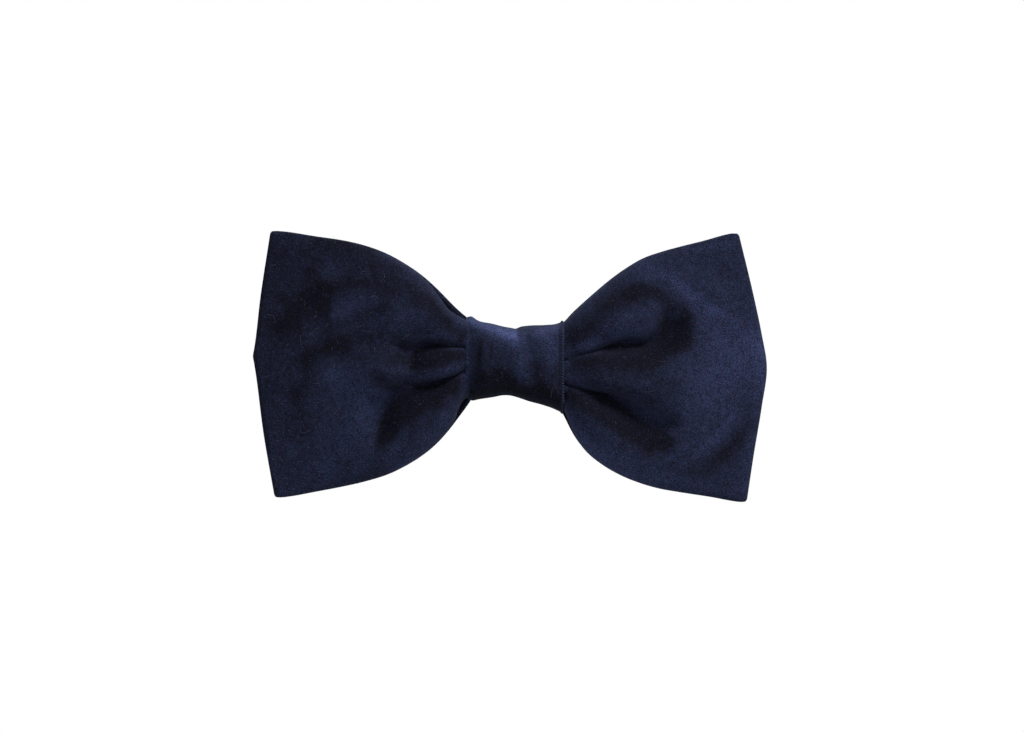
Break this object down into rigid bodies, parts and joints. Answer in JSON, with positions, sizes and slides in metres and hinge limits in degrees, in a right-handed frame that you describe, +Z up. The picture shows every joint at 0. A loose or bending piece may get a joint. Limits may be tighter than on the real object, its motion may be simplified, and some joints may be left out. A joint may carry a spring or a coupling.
{
  "type": "bow tie",
  "caption": "Ready-tied velvet bow tie: a pinched, looped velvet bow with a whip-stitched knot band and a sprung collar clip behind.",
  "frame": {"origin": "centre of the raised pad on the rear face of the clip plate, where the tie rests against the collar", "axes": "+X along the bow towards the viewer's right (the wearer's left), -Y the front of the tie, +Y towards the collar, +Z up as worn"},
  "size_m": [0.125, 0.0274, 0.066],
  "materials": {
    "navy_velvet": "matte",
    "knot_velvet": "matte",
    "interlining": "matte",
    "wadding": "matte",
    "navy_thread": "satin",
    "nickel_steel": "satin",
    "spring_steel": "satin"
  },
  "bodies": {
    "bow": {"bow_velvet": "navy_velvet", "bow_interlining": "interlining", "bow_end_thread": "navy_thread", "gather_thread": "navy_thread", "knot_band": "knot_velvet", "knot_pad": "wadding", "knot_seam_thread": "navy_thread", "knot_edge_thread": "navy_thread", "clip_plate": "nickel_steel", "clip_thread_left": "navy_thread", "clip_thread_right": "navy_thread", "left_hinge_pin": "nickel_steel", "right_hinge_pin": "nickel_steel", "left_spring": "spring_steel", "right_spring": "spring_steel"},
    "left_jaw": {"left_jaw": "nickel_steel"},
    "right_jaw": {"right_jaw": "nickel_steel"}
  },
  "joints": [
    {"name": "left_jaw_hinge", "type": "hinge", "parent": "bow", "child": "left_jaw", "pos_m": [-0.009, 0.0023, 0], "axis": [0, 0, -1], "range_deg": [0, 35], "stiffness_Nm_per_rad": 0.006, "springref_deg": -20.05, "deforming": ["left_spring"]},
    {"name": "right_jaw_hinge", "type": "hinge", "parent": "bow", "child": "right_jaw", "pos_m": [0.009, 0.0023, 0], "axis": [0, 0, 1], "range_deg": [0, 35], "stiffness_Nm_per_rad": 0.006, "springref_deg": -20.05, "deforming": ["right_spring"]}
  ]
}
